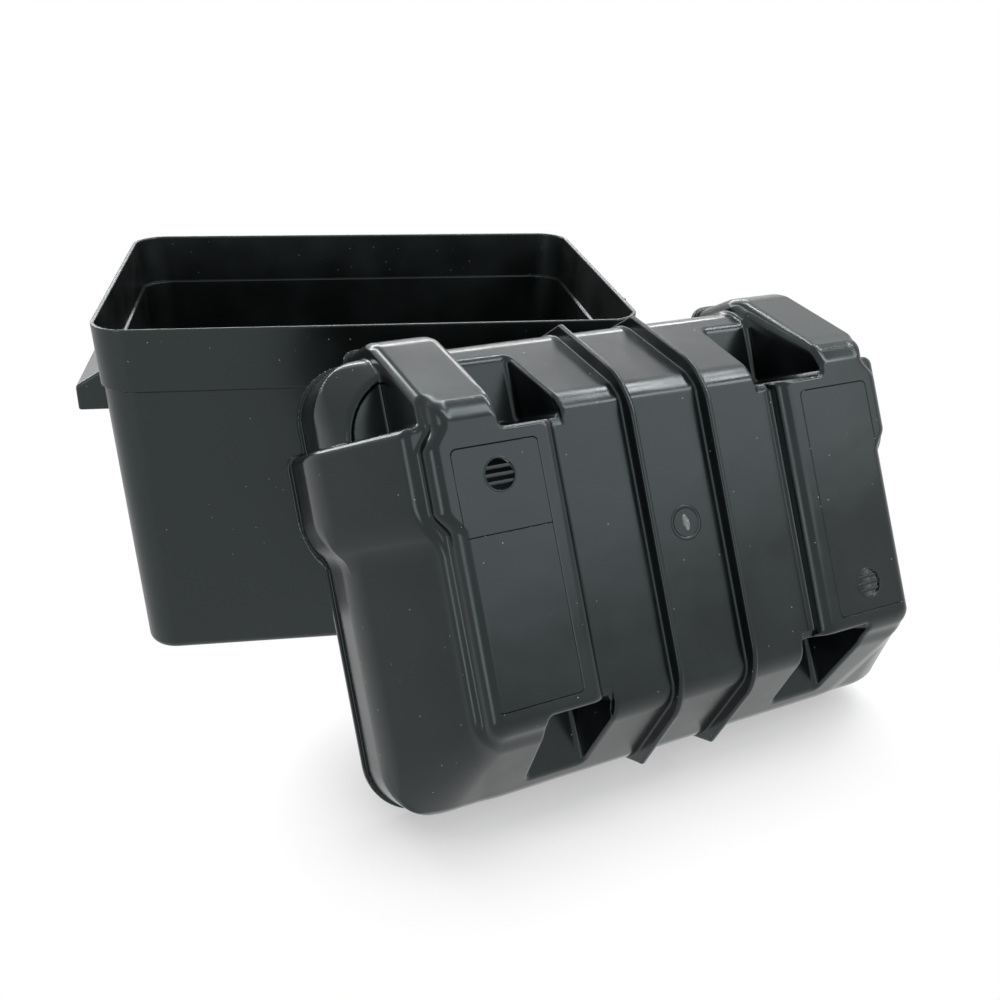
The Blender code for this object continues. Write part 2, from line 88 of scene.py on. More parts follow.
def linear(code: str) -> tuple[float, float, float, float]:
    """Turn an sRGB hex colour into a linear one.

    Args:
        code: The colour, such as "#3a3f41".

    Returns:
        Red, green, blue and an alpha of one.
    """
    shares = [int(code[k:k + 2], 16) / 255 for k in (1, 3, 5)]
    red, green, blue = ((s / 12.92) if s <= 0.04045 else ((s + 0.055) / 1.055) ** 2.4 for s in shares)
    return red, green, blue, 1.0


def add(tree: Tree, kind: str, inputs: dict | None = None, **settings: object) -> Node:
    """Add a node with its settings and inputs.

    Args:
        tree: The node tree to add it to.
        kind: The node's type name.
        inputs: What each input socket gets, by name or number: a value, an output socket to link,
            or a node whose first output is linked.
        settings: The node's own properties.

    Returns:
        The new node.
    """
    node = tree.nodes.new(kind)
    for key, value in settings.items():
        setattr(node, key, value)
    for key, value in (inputs or {}).items():
        source = value.outputs[0] if isinstance(value, Node) else value
        if isinstance(source, Socket):
            tree.links.new(source, node.inputs[key])
        else:
            node.inputs[key].default_value = source
    return node


def emptied(owner: Finish | bpy.types.World) -> Tree:
    """Give a material or a world an empty node tree."""
    owner.use_nodes = True
    owner.node_tree.nodes.clear()
    return owner.node_tree


def calc(tree: Tree, operation: str, first: float | Source, second: float | Source) -> Node:
    """Add a node that works out one number from two."""
    return add(tree, "ShaderNodeMath", {0: first, 1: second}, operation=operation)


def vectored(tree: Tree, operation: str, *terms: tuple | Source) -> Node:
    """Add a node that works on one or two vectors."""
    return add(tree, "ShaderNodeVectorMath", dict(enumerate(terms)), operation=operation)


def met(radius: float | Field, *parts: Field) -> Field:
    """Keep what lies inside every part, with the edges between them rounded off."""
    total = sum(np.maximum(part + radius, 0.0) ** 2 for part in parts)
    deepest = parts[0]
    for part in parts[1:]:
        deepest = np.maximum(deepest, part)
    return np.sqrt(total) + np.minimum(deepest + radius, 0.0) - radius


def joined(radius: float, first: Field, second: Field) -> Field:
    """Join two parts, with a fillet in the corner between them."""
    fillet = np.sqrt(np.maximum(radius - first, 0.0) ** 2 + np.maximum(radius - second, 0.0) ** 2)
    return np.maximum(radius, np.minimum(first, second)) - fillet


def carved(radius: float, part: Field, tool: Field) -> Field:
    """Cut a tool out of a part, with the edge of the cut rounded off."""
    return met(radius, part, -tool)


def leaning(along: Field, reach: float, rise: Field, lean: float) -> Field:
    """Return the distance from a plane that stands at a reach and comes in as it rises."""
    return (along - reach + rise * lean) / hypot(1.0, lean)


def eased(share: Field) -> Field:
    """Ease from nought to one."""
    share = np.clip(share, 0.0, 1.0)
    return share * share * (3.0 - 2.0 * share)


def surface_net(distance: Distance, low: Vector, high: Vector, cell: float) -> tuple[Field, Field]:
    """Draw a net of quads over the surface where a distance is zero.

    The moulding is the same at both ends, so only the right half is worked out.

    Args:
        distance: The distance function, in millimetres.
        low: Lowest corner of the space to search.
        high: Highest corner of it.
        cell: Size of one cell of the net.

    Returns:
        The net's points and its quads, whose normals point out.
    """
    half = np.arange(cell / 2, high[0] + cell, cell, dtype=np.float32)
    across, up = (np.arange(low[k], high[k] + cell, cell, dtype=np.float32) for k in (1, 2))
    right = distance(half[:, None, None], across[None, :, None], up[None, None, :])
    values = np.concatenate([right[::-1], right])
    axes = [np.concatenate([-half[::-1], half]), across, up]
    shape = values.shape
    strides = np.array([shape[1] * shape[2], shape[2], 1])
    cell_of, spot_of, quads = [], [], []
    for axis in range(3):
        near = [slice(None)] * 3
        far = [slice(None)] * 3
        near[axis], far[axis] = slice(None, -1), slice(1, None)
        for other in {0, 1, 2} - {axis}:
            near[other] = far[other] = slice(1, -1)
        a, b = values[tuple(near)], values[tuple(far)]
        crossing = np.argwhere((a < 0) != (b < 0))
        start = a[tuple(crossing.T)]
        share = start / (start - b[tuple(crossing.T)])
        for other in {0, 1, 2} - {axis}:
            crossing[:, other] += 1
        spot = crossing.astype(float)
        spot[:, axis] += share
        base = crossing @ strides
        one, two = strides[(axis + 1) % 3], strides[(axis + 2) % 3]
        ring = np.stack([base, base - one, base - one - two, base - two], axis=1)
        flip = start >= 0
        ring[flip] = ring[flip][:, ::-1]
        quads.append(ring)
        cell_of.append(ring.ravel())
        spot_of.append(np.repeat(spot, 4, axis=0))
    cells, slot = np.unique(np.concatenate(cell_of), return_inverse=True)
    spots = np.concatenate(spot_of)
    count = np.bincount(slot)
    points = np.stack([np.bincount(slot, spots[:, k]) / count for k in range(3)], axis=1)
    corners = np.array([axis[0] for axis in axes])
    return points * cell + corners, np.searchsorted(cells, np.concatenate(quads))


def slopes(distance: Distance, points: Field, step: float = 0.03) -> Field:
    """Return the gradient of a distance function at points."""
    result = np.empty_like(points)
    for k in range(3):
        shift = np.zeros(3)
        shift[k] = step
        ahead, behind = (points + shift).T, (points - shift).T
        result[:, k] = (distance(*ahead) - distance(*behind)) / (2 * step)
    return result


def settled(distance: Distance, points: Field, reach: float) -> Field:
    """Move the points of a net on to the surface itself, each by a short way at most."""
    for _ in range(2):
        gradient = slopes(distance, points)
        length = np.maximum((gradient ** 2).sum(axis=1), 0.25)
        step = gradient * (distance(*points.T) / length)[:, None]
        size = np.maximum(np.linalg.norm(step, axis=1), TINY)
        points = points - step * np.minimum(1.0, reach / size)[:, None]
    return points


def linked(name: str, data: bpy.types.ID) -> Body:
    """Make an object of a mesh, a lamp or a camera and link it to the scene."""
    body = bpy.data.objects.new(name, data)
    bpy.context.scene.collection.objects.link(body)
    return body


def new_object(name: str, points: list = (), faces: list = ()) -> Body:
    """Make a mesh object from points and faces and link it to the scene."""
    mesh = bpy.data.meshes.new(name)
    mesh.from_pydata(list(points), [], list(faces))
    return linked(name, mesh)


def skin(name: str, distance: Distance, low: Vector, high: Vector, cell: float, most: int) -> Body:
    """Make a closed body from a distance function.

    Args:
        name: The new object's name.
        distance: The distance function, in millimetres.
        low: Lowest corner of the space that the body lies in.
        high: Highest corner of it.
        cell: Size of one cell of the net that is drawn over the body.
        most: How many triangles the body may keep.

    Returns:
        The new object.
    """
    points, quads = surface_net(distance, low, high, cell)
    points = settled(distance, points, cell / 2)
    body = new_object(name)
    mesh = body.data
    mesh.vertices.add(len(points))
    mesh.vertices.foreach_set("co", points.ravel())
    mesh.loops.add(quads.size)
    mesh.loops.foreach_set("vertex_index", quads.ravel().astype(np.int32))
    mesh.polygons.add(len(quads))
    mesh.polygons.foreach_set("loop_start", np.arange(0, quads.size, 4, dtype=np.int32))
    mesh.update(calc_edges=True)
    return thinned(body, most)


def applied(body: Body) -> Body:
    """Turn an object's modifiers into plain mesh and remove them."""
    graph = bpy.context.evaluated_depsgraph_get()
    mesh = bpy.data.meshes.new_from_object(body.evaluated_get(graph))
    body.modifiers.clear()
    old, body.data = body.data, mesh
    bpy.data.meshes.remove(old)
    mesh.name = body.name
    return body


def triangles_of(body: Body) -> int:
    """Count a body's triangles."""
    return sum(len(face.vertices) - 2 for face in body.data.polygons)


def thinned(body: Body, most: int) -> Body:
    """Take faces away where the surface is flat, down to a number of triangles."""
    triangles = triangles_of(body)
    if triangles > most:
        modifier = body.modifiers.new("thin", "DECIMATE")
        modifier.ratio = most / triangles
        modifier.use_collapse_triangulate = True
        applied(body)
    return body


def tooled(body: Body, tools: list[Body], way: Way) -> Body:
    """Cut tools from a body or join them to it, and remove the tools."""
    for tool in tools:
        modifier = body.modifiers.new(way.name, "BOOLEAN")
        modifier.operation = way.value
        modifier.solver = "EXACT"
        modifier.object = tool
    applied(body)
    for tool in tools:
        bpy.data.objects.remove(tool)
    return body


def shaded(body: Body, distance: Distance, limit: float = radians(32)) -> None:
    """Shade a body by its distance function, except where a tool has cut a face of its own."""
    mesh = body.data
    mesh.shade_smooth()
    points = np.empty(len(mesh.vertices) * 3)
    mesh.vertices.foreach_get("co", points)
    normals = slopes(distance, points.reshape(-1, 3))
    normals /= np.maximum(np.linalg.norm(normals, axis=1), TINY)[:, None]
    corner = np.empty(len(mesh.loops), dtype=np.int32)
    mesh.loops.foreach_get("vertex_index", corner)
    flat = np.empty(len(mesh.polygons) * 3)
    mesh.polygons.foreach_get("normal", flat)
    sides = np.empty(len(mesh.polygons), dtype=np.int32)
    mesh.polygons.foreach_get("loop_total", sides)
    own = np.repeat(flat.reshape(-1, 3), sides, axis=0)
    smooth = normals[corner]
    keep = (smooth * own).sum(axis=1) > cos(limit)
    mesh.normals_split_custom_set(np.where(keep[:, None], smooth, own).tolist())


@dataclass(frozen=True)
class MouldedPolypropylene:
    """Black polypropylene from a steel mould: dark, softly glossy, a little uneven, and dusty.

    The eye gets it from the pale sheen that it takes from a bright room, a very fine grain that
    spreads highlights, wide shallow waves where the wall shrank, and pale specks of dust.
    """

    name: str
    dark: str
    light: str
    dust: str = "#a9adab"
    gloss: float = 0.15
    dullness: float = 0.22
    cloud: float = 38.0
    cloud_ends: tuple[float, float] = (0.35, 0.65)
    wave: float = 24.0
    wave_depth: float = 0.22
    # The real grain is about 0.1 mm, and is drawn coarser so that it shows
    grain: float = 0.75
    grain_depth: float = 0.012
    speck_spacing: float = 6.0
    speck_share: float = 0.040
    speck_fade: float = 1.3
    speck_cover: float = 0.9
    speck_rarity: float = 0.5
    sheen: float = 0.5
    sheen_tint: str = "#ebfcff"
    refraction: float = 1.49

    def material(self) -> Finish:
        """Build the material."""
        material = bpy.data.materials.new(self.name)
        tree = emptied(material)
        place = add(tree, "ShaderNodeTexCoord").outputs["Object"]
        clouds = self.noise(tree, place, self.cloud, detail=3.0)
        grain = self.noise(tree, place, self.grain, detail=2.0)
        waves = self.noise(tree, place, self.wave, detail=1.0)
        low, high = self.cloud_ends
        roughness = add(tree, "ShaderNodeMapRange", {
            "Value": clouds, "From Min": low, "From Max": high, "To Min": self.gloss,
            "To Max": self.dullness})
        wavy = add(tree, "ShaderNodeBump", {
            "Strength": 1.0, "Distance": self.wave_depth * MM, "Height": waves})
        fine = add(tree, "ShaderNodeBump", {
            "Strength": 1.0, "Distance": self.grain_depth * MM, "Height": grain, "Normal": wavy})
        shader = add(tree, "ShaderNodeBsdfPrincipled", {
            "Base Color": self.dusted(tree, place, self.tint(tree, clouds)), "Roughness": roughness,
            "Normal": fine, "IOR": self.refraction, "Metallic": 0.0,
            "Specular IOR Level": self.sheen, "Specular Tint": linear(self.sheen_tint)})
        add(tree, "ShaderNodeOutputMaterial", {"Surface": shader})
        return material

    def noise(self, tree: Tree, place: Source, size: float, detail: float) -> Source:
        """Add noise whose features measure about a size in millimetres."""
        return add(tree, "ShaderNodeTexNoise", {
            "Vector": place, "Scale": 1.0 / (size * MM), "Detail": detail})

    def tint(self, tree: Tree, clouds: Source) -> Source:
        """Add the slight clouding between the plastic's two tones."""
        ramp = add(tree, "ShaderNodeValToRGB", {"Fac": clouds})
        for end, place, tone in zip(ramp.color_ramp.elements, self.cloud_ends, (self.dark, self.light)):
            end.position = place
            end.color = linear(tone)
        return ramp

    def dusted(self, tree: Tree, place: Source, tint: Source) -> Source:
        """Add the scattered specks of pale dust over a colour."""
        specks = add(tree, "ShaderNodeTexVoronoi", {
            "Vector": place, "Scale": 1.0 / (self.speck_spacing * MM)})
        near = add(tree, "ShaderNodeMapRange", {
            "Value": specks, "From Min": self.speck_share,
            "From Max": self.speck_share * self.speck_fade, "To Min": self.speck_cover, "To Max": 0.0})
        chance = calc(tree, "GREATER_THAN", specks.outputs["Color"], self.speck_rarity)
        share = calc(tree, "MULTIPLY", near, chance)
        return add(tree, "ShaderNodeMixRGB", {
            "Fac": share, "Color1": tint, "Color2": linear(self.dust)})


@dataclass(frozen=True)
class StudioFloor:
    """Matt white studio floor that fades into the white behind it and keeps the soft shadow."""

    name: str = "matt_white_floor"
    shade: str = "#f7f8f8"
    lift: float = 0.4
    mirrored_lift: float = 0.8
    edge_middle: Triple = (0.165, -0.226, 0.0)
    half_edge: float = 0.14
    near: float = 0.03
    far: float = 0.10

    def material(self) -> Finish:
        """Build the material: lit paint near the lid's standing edge and plain white farther out.

        Mirrored in the case, the floor is paler than it looks, as a wide lit floor is.
        """
        material = bpy.data.materials.new(self.name)
        tree = emptied(material)
        place = add(tree, "ShaderNodeTexCoord").outputs["Object"]
        aligned = add(tree, "ShaderNodeMapping", {
            "Vector": place, "Location": self.edge_middle, "Rotation": (0.0, 0.0, LID_TURN)},
            vector_type="TEXTURE")
        aside = vectored(tree, "ABSOLUTE", aligned)
        past = vectored(tree, "SUBTRACT", aside, (self.half_edge, 0.0, 0.0))
        clear = vectored(tree, "MAXIMUM", past, (0.0, 0.0, 0.0))
        away = vectored(tree, "LENGTH", clear)
        fade = add(tree, "ShaderNodeMapRange", {
            "Value": away.outputs["Value"], "From Min": self.near, "From Max": self.far,
            "To Min": self.lift, "To Max": 1.0})
        path = add(tree, "ShaderNodeLightPath")
        mirrored = calc(tree, "MULTIPLY", path.outputs["Is Glossy Ray"], self.mirrored_lift)
        whiter = calc(tree, "MAXIMUM", fade, mirrored)
        share = calc(tree, "MULTIPLY", whiter, seen_directly(tree))
        paint = add(tree, "ShaderNodeBsdfDiffuse", {"Color": linear(self.shade)})
        white = add(tree, "ShaderNodeEmission", {"Color": WHITE, "Strength": 1.0})
        mix = add(tree, "ShaderNodeMixShader", {0: share, 1: paint, 2: white})
        add(tree, "ShaderNodeOutputMaterial", {"Surface": mix})
        return material


def seen_directly(tree: Tree) -> Source:
    """Add a value that is one for rays from the camera and from glossy or clear surfaces."""
    path = add(tree, "ShaderNodeLightPath").outputs
    both = calc(tree, "MAXIMUM", path["Is Camera Ray"], path["Is Glossy Ray"])
    return calc(tree, "MAXIMUM", both, path["Is Transmission Ray"])


@dataclass
class Box:
    """The open box: tapered walls, a collar with a ledge inside it, a rounded foot, two handles."""

    length: float = 320.0
    width: float = 230.0
    height: float = 218.0
    wall: float = 2.4
    draft: float = 8.3
    rim_corner: float = 21.5
    foot_corner: float = 19.0
    foot_radius: float = 6.0
    rim_radius: float = 0.9
    collar: float = 36.7
    collar_step: float = 1.4
    ledge_rise: float = 4.5
    ledge_run: float = 0.8
    handle_width: float = 111.0
    handle_reach: float = 24.5
    handle_wall: float = 2.6
    handle_drop: float = 1.8
    handle_slope: float = 14.8
    handle_grip: float = 16.0
    handle_edge: float = 1.6
    handle_fillet: float = 1.2
    hollow_edge: float = 0.7
    hollow_start: float = 100.0
    nub_width: float = 2.6
    nub_height: float = 2.4
    nub_reach: float = 1.3
    nub_drop: float = 0.6
    nub_setback: float = 47.0
    nub_corner: float = 0.4
    cell: float = 1.15
    most_triangles: int = 170000

    @property
    def step_height(self) -> float:
        """Height of the step under the collar."""
        return self.height - self.collar

    def size_at(self, z: float, stepped: bool) -> Triple:
        """Return half the length, half the width and the corner radius at a height."""
        drawn_in = self.draft * (self.height - z) / self.height
        drawn_in += self.collar_step if stepped else 0.0
        radius = self.foot_corner + (self.rim_corner - self.foot_corner) * z / self.height
        return self.length / 2 - drawn_in, self.width / 2 - drawn_in, radius

    def plan(self, x: Field, y: Field, z: Field, step_at: float, step_run: float) -> Field:
        """Return the distance from the tapered walls, with a step in them at a height."""
        drawn_in = self.draft * (self.height - z) / self.height
        drawn_in = drawn_in + self.collar_step * (1.0 - eased((z - step_at + step_run) / step_run))
        share = np.clip(z / self.height, 0.0, 1.0)
        radius = self.foot_corner + (self.rim_corner - self.foot_corner) * share
        over = np.abs(x) - (self.length / 2 - drawn_in) + radius
        across = np.abs(y) - (self.width / 2 - drawn_in) + radius
        outside = np.sqrt(np.maximum(over, 0.0) ** 2 + np.maximum(across, 0.0) ** 2)
        return outside + np.minimum(np.maximum(over, across), 0.0) - radius

    def handles(self, x: Field, y: Field, z: Field, walls: Field) -> tuple[Field, Field]:
        """Return the two carrying handles and the finger hollows under them."""
        out, across = np.abs(x), np.abs(y)
        top = self.step_height - self.handle_drop
        outer_top = top - self.handle_slope
        reach = self.size_at(top, True)[0] + self.handle_reach
        lean = self.handle_reach / self.handle_slope
        slope = leaning(out, reach, z - outer_top, lean)
        block = met(self.handle_edge, out - reach, slope, outer_top - self.handle_grip - z,
                    across - self.handle_width / 2)
        wall = self.handle_wall
        hollow = met(self.handle_edge / 2, out - reach + wall, slope + wall,
                     across - self.handle_width / 2 + wall, -walls + 0.0 * z)
        return block, hollow

    def distance(self, x: Field, y: Field, z: Field) -> Field:
        """Return how far points lie outside the box's plastic."""
        walls = self.plan(x, y, z, self.step_height, self.collar_step)
        block, hollow = self.handles(x, y, z, walls)
        hull = met(self.foot_radius, walls, -z)
        handled = carved(self.hollow_edge, joined(self.handle_fillet, hull, block),
                         np.maximum(hollow, self.hollow_start - np.abs(x)))
        inside = self.plan(x, y, z, self.step_height + self.ledge_rise, self.ledge_run) + self.wall
        space = met(self.foot_radius - self.wall, inside, self.wall - z)
        return carved(self.rim_radius, met(self.rim_radius, handled, z - self.height), space)

    def nub(self) -> Body:
        """Make the small catch nub outside the rim's right end."""
        middle = self.nub_setback - self.width / 2
        top = self.height - self.nub_drop
        end = self.length / 2
        return block((end - self.wall / 2, middle - self.nub_width / 2, top - self.nub_height),
                     (end + self.nub_reach, middle + self.nub_width / 2, top), self.nub_corner)

    def build(self, plastic: Finish) -> Body:
        """Build the box and dress it."""
        cell = self.cell
        reach = self.size_at(self.step_height, True)[0] + self.handle_reach + 2 * cell
        low = Vector((-reach, -self.width / 2 - 2 * cell, -2 * cell))
        high = Vector((reach, self.width / 2 + 2 * cell, self.height + 2 * cell))
        body = skin("moulded_box", self.distance, low, high, cell, self.most_triangles)
        tooled(body, [self.nub()], Way.JOIN)
        shaded(body, self.distance)
        return placed(dressed(body, plastic), Matrix.Identity(4))


@dataclass
class Lid:
    """The lid: one thin wall over plates, humps, lobes, recesses, pockets, grooves and ribs.

    Heights are above its rim plane. It is the same at both ends, so x is taken without its sign.
    """

    box: Box
    wall: float = 2.0
    clearance: float = 0.5
    height: float = 102.0
    face_drop: float = 9.5
    skirt: float = 36.0
    skirt_corner: float = 28.0
    top_corner: float = 9.0
    skirt_bend: float = 5.0
    side_run: float = 40.5
    end_run: float = 31.0
    end_inset: float = 27.5
    edge: float = 7.5
    end_edge: float = 3.5
    edge_blend: float = 10.0
    plate_edge: float = 5.5
    lip_width: float = 2.0
    lip_height: float = 3.0
    lip_edge: float = 0.5
    lip_fillet: float = 0.6
    plate_length: float = 63.2
    plate_setback: float = 5.8
    plate_corner: float = 8.0
    plate_inner_run: float = 2.5
    plate_outer_run: float = 2.2
    plate_overrun: float = 2.5
    plate_fillet: float = 2.2
    bulge_reach: float = 6.5
    bulge_setback: float = 7.0
    bulge_delay: float = 4.0
    bulge_fade: float = 12.0
    hump_length: float = 39.0
    hump_setback: float = 3.0
    hump_reach: float = 7.5
    hump_shoulder: float = 41.0
    hump_corner: float = 8.0
    hump_outer_corner: float = 5.0
    hump_bend: float = 6.0
    hump_blend: float = 4.0
    hump_overrun: float = 2.0
    swell_fillet: float = 3.0
    lobe_length: float = 57.0
    lobe_setback: float = 42.5
    lobe_reach: float = 9.5
    lobe_ramp: float = 12.5
    lobe_corner: float = 5.0
    pocket_length: float = 33.0
    pocket_overlap: float = 4.0
    pocket_setback: float = 5.0
    pocket_floor: float = 50.5
    pocket_draft: float = 3.0
    pocket_corner: float = 3.0
    pocket_shelf: float = 0.3
    pocket_edge: float = 2.4
    notch_width: float = 7.0
    notch_run: float = 12.0
    notch_depth: float = 6.0
    notch_edge: float = 0.8
    recess_rim: float = 3.0
    recess_step: float = 1.6
    recess_bend: float = 1.5
    recess_edge: float = 1.8
    recess_overlap: float = 4.0
    recess_fillet: float = 1.2
    rib_spacing: float = 45.7
    rib_width: float = 4.0
    rib_crest: float = 3.0
    rib_height: float = 7.2
    rib_edge: float = 1.2
    rib_fillet: float = 1.0
    rib_end: float = 10.0
    rib_end_lean: float = 0.105
    panel_length: float = 44.1
    panel_width: float = 121.8
    panel_margin: float = 10.8
    panel_corner: float = 2.5
    score_width: float = 0.8
    score_depth: float = 0.38
    seam_place: float = 20.0
    seam_width: float = 0.7
    seam_depth: float = 0.33
    cutter_rise: float = 1.0
    vent_diameter: float = 15.0
    vent_shift: float = 46.7
    vent_bars: int = 3
    vent_pitch: float = 3.7
    vent_bar: float = 1.7
    vent_bar_depth: float = 1.3
    vent_bar_drop: float = 0.35
    vent_bar_crease: float = radians(40)
    gate_diameter: float = 17.4
    gate_shift: float = 5.6
    # Steps out from the gate's radius and up from the face, round the ring's section
    gate_section: tuple = ((-1.6, -0.6), (-1.6, 0.02), (-0.9, 0.12), (-0.3, 0.26), (0.0, 0.2),
                           (0.4, 0.02), (0.4, -0.6))
    nub_size: Triple = (8.6, 4.0, 0.8)
    nub_skew: float = -0.5
    nub_ripple: float = 0.12
    nub_waves: tuple[float, float] = (9.0, 7.0)
    vent_ring: float = 0.8
    vent_ring_height: float = 0.25
    vent_ring_bevel: float = 0.2
    vent_ring_overlap: float = 0.05
    vent_ring_sink: float = 0.4
    lean_drop: float = 7.4
    shift: float = 66.0
    contact_gap: float = 0.4
    floor_gap: float = 0.3
    cell: float = 0.85
    inner_cell: float = 1.5
    most_triangles: int = 150000
    most_inner_triangles: int = 45000

    def __post_init__(self) -> None:
        """Work out the sizes that follow from the others."""
        self.half_length = self.box.length / 2 + self.clearance + self.wall
        self.half_width = self.box.width / 2 + self.clearance + self.wall
        self.face = self.height - self.face_drop
        rise = self.face - self.skirt
        self.side_lean = self.side_run / rise
        self.end_lean = self.end_run / rise
        self.face_half_length = self.half_length - self.end_inset
        self.face_half_width = self.half_width - self.side_run
        self.plate_outer = self.face_half_length - self.plate_setback
        self.plate_inner = self.plate_outer - self.plate_length
        self.hump_outer = self.face_half_length - self.hump_setback
        self.hump_inner = self.hump_outer - self.hump_length
        self.lobe_back = self.half_width - self.lobe_setback
        self.lobe_front = self.lobe_back - self.lobe_length
        self.panel_middle = (self.plate_inner + self.plate_inner_run + self.panel_margin
                             + self.panel_length / 2)

    def sloped(self, along: Field, reach: float, rise: Field, lean: float,
               bend: float | None = None) -> Field:
        """Return the distance from a wall that leans in where the rise is above nought."""
        bend = self.skirt_bend if bend is None else bend
        return met(bend, along - reach + 0.0 * rise, leaning(along, reach, rise, lean))

    def ramp(self, out: Field, y: Field, rise: Field) -> Field:
        """Return the distance from the ramp that leads out to a lobe on an end."""
        slant = hypot(self.lobe_ramp, self.lobe_reach)
        away = (self.lobe_ramp / slant, -self.lobe_reach / slant)
        along = out * away[0] + y * away[1]
        place = self.half_length * away[0] + self.lobe_front * away[1]
        return leaning(along, place, rise, self.end_lean * away[0])

    def walls(self, out: Field, y: Field, z: Field) -> Field:
        """Return the distance from the walls all round, with the lobes, humps and recesses."""
        fillet = self.swell_fillet
        rise = z - self.skirt
        end = self.sloped(out, self.half_length, rise, self.end_lean)
        side, back, front = (self.sloped(along, self.half_width, rise, self.side_lean)
                             for along in (np.abs(y), y, -y))
        lobe = met(self.lobe_corner,
                   self.sloped(out, self.half_length + self.lobe_reach, rise, self.end_lean),
                   self.ramp(out, y, np.maximum(rise, 0.0)))
        hump = met(self.hump_corner,
                   self.sloped(y, self.half_width + self.hump_reach, z - self.hump_shoulder,
                               self.side_lean, self.hump_bend), self.hump_inner - out)
        share = np.clip(rise / (self.height - self.skirt), 0.0, 1.0)
        turn = self.skirt_corner + (self.top_corner - self.skirt_corner) * share
        middle = met(turn, joined(fillet, end, lobe), front)
        beside = met(self.hump_outer_corner, joined(fillet, back, hump), out - self.hump_outer)
        below = met(self.lobe_corner, middle, y - self.lobe_back)
        upper = joined(fillet, met(turn, beside, front), below)
        corner = met(self.skirt_corner, end, side)
        floor = met(self.recess_edge, corner, z - self.pocket_floor)
        pan = met(self.recess_bend, corner + self.recess_rim, self.pocket_floor - self.recess_step - z)
        floor = carved(self.recess_bend, floor, pan)
        kept = np.maximum(np.maximum(floor, self.hump_outer - self.recess_overlap - out),
                          self.lobe_back - self.recess_overlap - y)
        return joined(self.recess_fillet, upper, kept)

    def crown(self, out: Field, y: Field, z: Field) -> Field:
        """Return the distance from the top: the centre face and the raised end plates."""
        rise = z - self.face
        swell = eased((y - self.lobe_front - self.bulge_delay) / self.lobe_ramp)
        swell = swell * (1.0 - eased((y - self.lobe_back + self.bulge_setback + self.bulge_fade / 2)
                                     / self.bulge_fade))
        outer = leaning(out - self.bulge_reach * swell, self.plate_outer, rise,
                        self.plate_outer_run / self.face_drop)
        inner = leaning(-out, -self.plate_inner, rise, self.plate_inner_run / self.face_drop)
        reach = self.face_half_width + self.plate_overrun
        front = leaning(-y, reach, rise, self.side_lean)
        beside = eased((out - self.hump_inner + self.hump_blend) / self.hump_blend)
        back = leaning(y, reach + self.hump_reach * beside * self.hump_overrun, rise, self.side_lean)
        plate = met(self.plate_edge, z - self.height, met(self.plate_corner, outer, inner, front, back))
        return joined(self.plate_fillet, rise + 0.0 * out, plate)

    def hollows(self, part: Field, out: Field, y: Field, z: Field) -> Field:
        """Cut the four pockets beside the plates, and the notches that run into them."""
        across = np.abs(y)
        draft = self.pocket_draft / (self.face - self.pocket_floor)
        rise = z - self.pocket_floor
        start = self.plate_inner - self.pocket_overlap
        end = np.where(y > 0, self.hump_inner - self.pocket_shelf, start + self.pocket_length)
        tool = met(self.pocket_corner, out - end - rise * draft, start - out - rise * draft,
                   self.face_half_width - self.pocket_setback - across - rise * draft, -rise)
        part = carved(self.pocket_edge, part, tool)
        run = np.clip((across - self.face_half_width + self.notch_run) / self.notch_run, 0.0, 1.0)
        foot = self.face - self.notch_depth * run
        notch = met(self.notch_edge, out - self.plate_inner,
                    self.plate_inner - self.notch_width - out, foot - z,
                    self.face_half_width - self.notch_run - across)
        return carved(self.notch_edge, part, notch)

    def ribs(self, out: Field, y: Field, z: Field) -> Field:
        """Return the two ribs that cross the centre face and run down both long slopes."""
        high = self.rib_height
        side = leaning(np.abs(y), self.half_width, z - self.skirt, self.side_lean)
        crest = met(self.edge + high, z - self.face - high + 0.0 * y, side - high)
        draft = (self.rib_width - self.rib_crest) / 2 / high
        flank = np.abs(out - self.rib_spacing / 2) - self.rib_crest / 2 + crest * draft
        end = leaning(np.abs(y), self.half_width, self.rib_end - z, self.rib_end_lean)
        return met(self.rib_edge, flank, np.maximum(crest, end))

    def outside(self, x: Field, y: Field, z: Field) -> Field:
        """Return the distance from the lid's outer surface, without ribs and lip."""
        out = np.abs(x)
        near_end = eased((out - self.plate_outer) / self.edge_blend + 1.0)
        edge = self.edge + (self.end_edge - self.edge) * near_end
        body = met(edge, self.walls(out, y, z), self.crown(out, y, z))
        return self.hollows(body, out, y, z)

    def filled(self, x: Field, y: Field, z: Field) -> Field:
        """Return how far points lie outside the lid, as if it were filled to its rim."""
        out = np.abs(x)
        lip = met(self.lip_edge, self.walls(out, y, z) - self.lip_width, z - self.lip_height)
        proud = joined(self.rib_fillet, self.outside(x, y, z), self.ribs(out, y, z))
        return met(self.lip_edge, joined(self.lip_fillet, proud, lip), -z)

    def hollow(self, x: Field, y: Field, z: Field) -> Field:
        """Return how far points lie outside the hollow under the lid, which runs out of its rim."""
        return np.maximum(self.outside(x, y, z) + self.wall, -self.wall - z)

    def distance(self, x: Field, y: Field, z: Field) -> Field:
        """Return how far points lie outside the lid's plastic."""
        return np.maximum(self.filled(x, y, z), -self.hollow(x, y, z))

